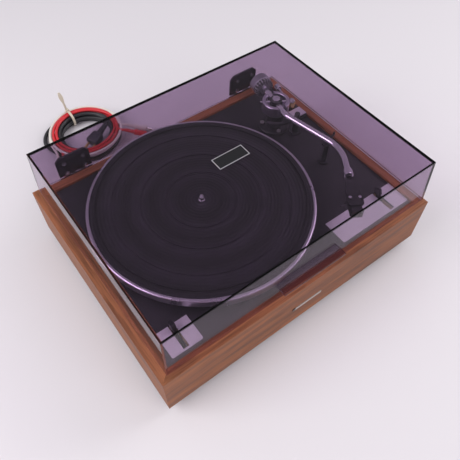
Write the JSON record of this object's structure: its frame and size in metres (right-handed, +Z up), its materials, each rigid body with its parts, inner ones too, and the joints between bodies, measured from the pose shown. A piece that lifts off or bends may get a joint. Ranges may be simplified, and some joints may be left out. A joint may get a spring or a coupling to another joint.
{
  "type": "turntable",
  "caption": "Belt-drive record player in a wooden plinth with a tinted clear cover on hinges, S-shaped arm, platter with rubber mat and coiled leads.",
  "frame": {"origin": "on the floor under the middle of the player, leads left out; the plinth's middle is 6 mm in front of it", "axes": "+X to the right seen from the front, +Y to the back, +Z up"},
  "size_m": [0.431, 0.5542, 0.1688],
  "materials": {
    "walnut": "satin, grain along each board",
    "board": "raw particle board",
    "deck_black": "matte black",
    "silver_trim": "brushed",
    "cast_aluminium": "fine turned",
    "rubber_black": "matte",
    "steel": "machined",
    "zinc": "zinc plated",
    "chrome": "polished",
    "motor_can": "satin grey",
    "brass": "turned",
    "plastic_black": "satin black",
    "cover_clear": "clear tinted acrylic, polished edges",
    "cord_black": "satin sheath",
    "cord_red": "satin sheath",
    "cord_white": "satin sheath",
    "tie_cream": "soft plastic",
    "plug_grey": "moulded",
    "weight_grey": "satin",
    "phono_metal": "polished"
  },
  "bodies": {
    "plinth": {"arm_base": "plastic_black", "arm_label_plate": "silver_trim", "arm_rest": "plastic_black", "arm_side_block": "plastic_black", "base_screws": "zinc", "bearing_housing": "steel", "cable_tie": "tie_cream", "chassis_board": "board", "cord_coil": "cord_black", "cord_reliefs": "plug_grey", "deck_plate": "deck_black", "deck_screws": "chrome", "drive_belt": "rubber_black", "feet": "rubber_black", "floor_board": "board", "front_badge": "chrome", "hinge_brackets": "plastic_black", "lever_brackets": "steel", "lift_cylinder": "plastic_black", "mains_cord": "cord_black", "mains_plug": "plug_grey", "motor": "motor_can", "motor_grommets": "rubber_black", "phono_cord_red": "cord_red", "phono_cord_white": "cord_white", "phono_plugs": "phono_metal", "plinth_blocks": "board", "plinth_front_board": "walnut", "plinth_left_board": "walnut", "plinth_rear_board": "walnut", "plinth_right_board": "walnut", "power_switch": "plastic_black", "trim_plates": "silver_trim"},
    "platter": {"spindle_shaft": "steel", "platter": "cast_aluminium", "platter_mat": "rubber_black"},
    "pulley": {"motor_pulley": "brass"},
    "belt_fork": {"belt_fork": "steel"},
    "speed_lever": {"speed_lever": "plastic_black"},
    "lift_lever": {"lift_lever": "plastic_black"},
    "lift_platform": {"lift_platform": "plastic_black"},
    "arm_yoke": {"arm_yoke": "silver_trim", "pivot_pins": "brass", "lateral_weight": "brass"},
    "arm": {"arm_hub": "plastic_black", "hub_cap": "silver_trim", "arm_tube": "chrome", "headshell": "plastic_black", "cartridge": "plastic_black", "cartridge_screws": "chrome", "needle": "plastic_black"},
    "collar": {"shell_collar": "chrome"},
    "counterweight": {"counterweight": "weight_grey"},
    "dial": {"counterweight_dial": "plastic_black"},
    "anti_skate_knob": {"anti_skate_knob": "brass"},
    "rest_clip": {"arm_rest_clip": "plastic_black"},
    "cover": {"dust_cover": "cover_clear", "cover_badge": "silver_trim", "hinge_leaves": "plastic_black", "hinge_screws": "chrome"}
  },
  "joints": [
    {"name": "cover_hinge", "type": "hinge", "parent": "plinth", "child": "cover", "pos_m": [0.001, 0.171, 0.101], "axis": [-1, 0, 0], "range_deg": [0, 65]},
    {"name": "platter_spin", "type": "hinge", "parent": "plinth", "child": "platter", "pos_m": [-0.0423, -0.0012, 0.1], "axis": [0, 0, 1], "continuous": true},
    {"name": "pulley_spin", "type": "hinge", "parent": "plinth", "child": "pulley", "pos_m": [-0.119, -0.0831, 0.1], "axis": [0, 0, 1], "continuous": true},
    {"name": "speed_lever_rock", "type": "hinge", "parent": "plinth", "child": "speed_lever", "pos_m": [-0.169, -0.1335, 0.073], "axis": [1, 0, 0], "range_deg": [0, 44]},
    {"name": "belt_fork_slide", "type": "slide", "parent": "plinth", "child": "belt_fork", "axis": [0, 0, 1], "range_m": [-0.0056, 0]},
    {"name": "lift_lever_rock", "type": "hinge", "parent": "plinth", "child": "lift_lever", "pos_m": [0.17, -0.1335, 0.073], "axis": [1, 0, 0], "range_deg": [0, 44]},
    {"name": "lift_platform_slide", "type": "slide", "parent": "plinth", "child": "lift_platform", "axis": [0, 0, 1], "range_m": [0, 0.003]},
    {"name": "arm_swing", "type": "hinge", "parent": "plinth", "child": "arm_yoke", "pos_m": [0.1431, 0.0712, 0.12], "axis": [0, 0, 1], "range_deg": [-44, 0]},
    {"name": "arm_tilt", "type": "hinge", "parent": "arm_yoke", "child": "arm", "pos_m": [0.1431, 0.0712, 0.1385], "axis": [-0.8387, 0.5446, 0], "range_deg": [0, 7]},
    {"name": "collar_turn", "type": "hinge", "parent": "arm", "child": "collar", "pos_m": [0.13124, -0.09316, 0.1355], "axis": [-0.5446, -0.8387, 0], "range_deg": [0, 60]},
    {"name": "counterweight_turn", "type": "hinge", "parent": "arm", "child": "counterweight", "pos_m": [0.15226, 0.11832, 0.1355], "axis": [0.1908, 0.9816, 0], "range_deg": [-180, 180]},
    {"name": "dial_turn", "type": "hinge", "parent": "counterweight", "child": "dial", "pos_m": [0.15035, 0.1085, 0.1355], "axis": [0.1908, 0.9816, 0], "range_deg": [-180, 180]},
    {"name": "anti_skate_turn", "type": "hinge", "parent": "plinth", "child": "anti_skate_knob", "pos_m": [0.189, 0.084, 0.1], "axis": [0, 0, -1], "range_deg": [0, 270]},
    {"name": "rest_clip_turn", "type": "hinge", "parent": "plinth", "child": "rest_clip", "pos_m": [0.15911, -0.02925, 0.133], "axis": [-0.1908, 0.9816, 0], "range_deg": [-85, 0]}
  ],
  "couplings": [
    {"joint": "pulley_spin", "follows": "platter_spin", "ratio": 9},
    {"joint": "belt_fork_slide", "follows": "speed_lever_rock", "m_per_rad": -0.007162},
    {"joint": "lift_platform_slide", "follows": "lift_lever_rock", "m_per_rad": 0.0039}
  ]
}
